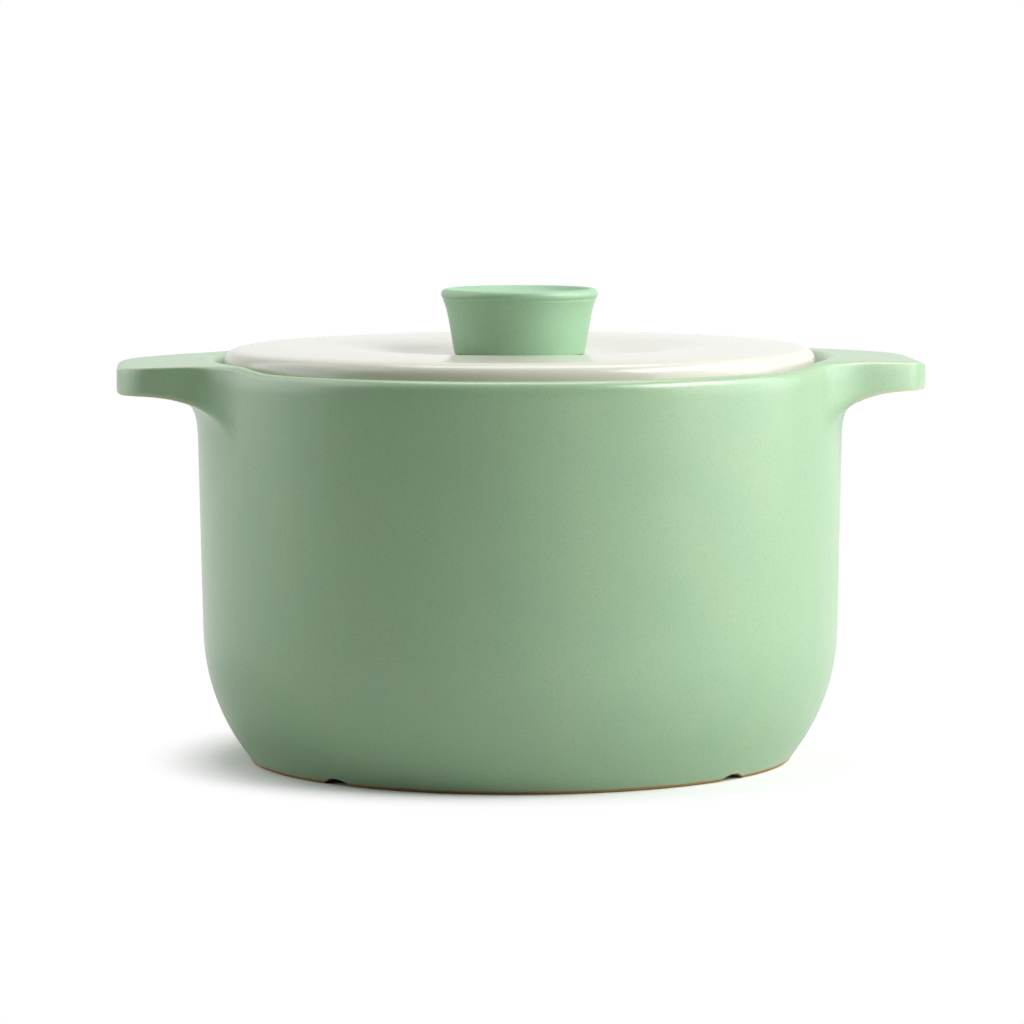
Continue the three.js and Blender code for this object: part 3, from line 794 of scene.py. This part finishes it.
away = add_node(tree, "ShaderNodeMath", {"operation": "MAXIMUM"},
                {0: spot.outputs["X"], 1: spot.outputs["Y"]})
bright = add_node(tree, "ShaderNodeMapRange", {"From Min": -0.1, "From Max": 0.3}, {"Value": away.outputs[0]})
mirrored = add_node(tree, "ShaderNodeMath", {"operation": "MULTIPLY"},
                    {0: path.outputs["Is Glossy Ray"], 1: bright.outputs["Result"]})
seen = add_node(tree, "ShaderNodeMath", {"operation": "MAXIMUM"},
                {0: path.outputs["Is Camera Ray"], 1: mirrored.outputs[0]})
fade = add_node(tree, "ShaderNodeMath", {"operation": "MULTIPLY"},
                {0: far.outputs["Result"], 1: seen.outputs[0]})
white = add_node(tree, "ShaderNodeEmission", {"Strength": 1.0}, {})
mixed = add_node(tree, "ShaderNodeMixShader", {},
                 {0: fade.outputs[0], 1: shader.outputs[0], 2: white.outputs[0]})
tree.links.new(mixed.outputs[0], tree.nodes["Material Output"].inputs["Surface"])
floor.data.materials.append(paper)

world = bpy.data.worlds.new("white_room")
bpy.context.scene.world = world
world.use_nodes = True
tree = world.node_tree
path = add_node(tree, "ShaderNodeLightPath", {}, {})
direction = add_node(tree, "ShaderNodeTexCoord", {}, {})
heading = add_node(tree, "ShaderNodeSeparateXYZ", {}, {"Vector": direction.outputs["Generated"]})
gloss = add_node(tree, "ShaderNodeMapRange",
                 {"From Min": -0.7, "From Max": 0.1, "To Min": OPEN_SIDE, "To Max": FAR_SIDE},
                 {"Value": heading.outputs["Y"]})
mirrored = add_node(tree, "ShaderNodeMix", {2: ROOM_LIGHT},
                    {0: path.outputs["Is Glossy Ray"], 3: gloss.outputs["Result"]})
seen = add_node(tree, "ShaderNodeMath", {"operation": "MAXIMUM"},
                {0: path.outputs["Is Camera Ray"], 1: path.outputs["Is Transmission Ray"]})
strength = add_node(tree, "ShaderNodeMath", {"operation": "MAXIMUM"},
                    {0: mirrored.outputs[0], 1: seen.outputs[0]})
room = tree.nodes["Background"]
room.inputs["Color"].default_value = (1, 1, 1, 1)
tree.links.new(strength.outputs[0], room.inputs["Strength"])

# Lamps
# Large soft boxes: the key stands high on the right, a broad panel low beside it, a weaker one to the left
# and behind, and one hangs overhead for the lid. Each has its bearing in degrees from the front to the right,
# its reach, height, width and tallness in metres, and its power in watts.
LAMPS = [
    ("key_softbox", 63, 1.0, 0.95, 0.8, 0.6, 11.2),
    ("side_softbox", 76, 1.2, 0.6, 1.5, 1.3, 17.2),
    ("left_softbox", -102, 1.0, 0.6, 1.2, 1.2, 7.4),
    ("top_softbox", 170, 0.4, 1.25, 0.8, 0.6, 4.8),
]
AIM = Vector((0, 0, 0.08))
for name, bearing, reach, height, wide, tall, power in LAMPS:
    light = bpy.data.lights.new(name, "AREA")
    light.shape = "RECTANGLE"
    light.size = wide
    light.size_y = tall
    light.energy = power
    lamp = bpy.data.objects.new(name, light)
    angle = math.radians(bearing)
    lamp.location = (reach * math.sin(angle), -reach * math.cos(angle), height)
    lamp.rotation_euler = (AIM - lamp.location).to_track_quat("-Z", "Y").to_euler()
    bpy.context.scene.collection.objects.link(lamp)

# Camera
# A long lens a little above the lid, nearly square to the lugs, from the photograph's own view.
FOCAL_PIXELS = 4923
IMAGE_PIXELS = 1024
SENSOR = 36
POT_YAW = math.radians(4.0)
CAMERA_PLACE = (-2.7 * MM, -1639 * MM, 232 * MM)
CAMERA_PITCH = math.radians(5.23)
CAMERA_ROLL = math.radians(-0.17)
lens = bpy.data.cameras.new("photo_camera")
lens.sensor_width = SENSOR
lens.lens = SENSOR * FOCAL_PIXELS / IMAGE_PIXELS
camera = bpy.data.objects.new("photo_camera", lens)
camera.matrix_world = (
    Matrix.Rotation(-POT_YAW, 4, "Z") @ Matrix.Translation(CAMERA_PLACE)
    @ Matrix.Rotation(math.pi / 2 - CAMERA_PITCH, 4, "X") @ Matrix.Rotation(CAMERA_ROLL, 4, "Z"))
bpy.context.scene.collection.objects.link(camera)
bpy.context.scene.camera = camera
bpy.context.scene.view_settings.view_transform = "Standard"
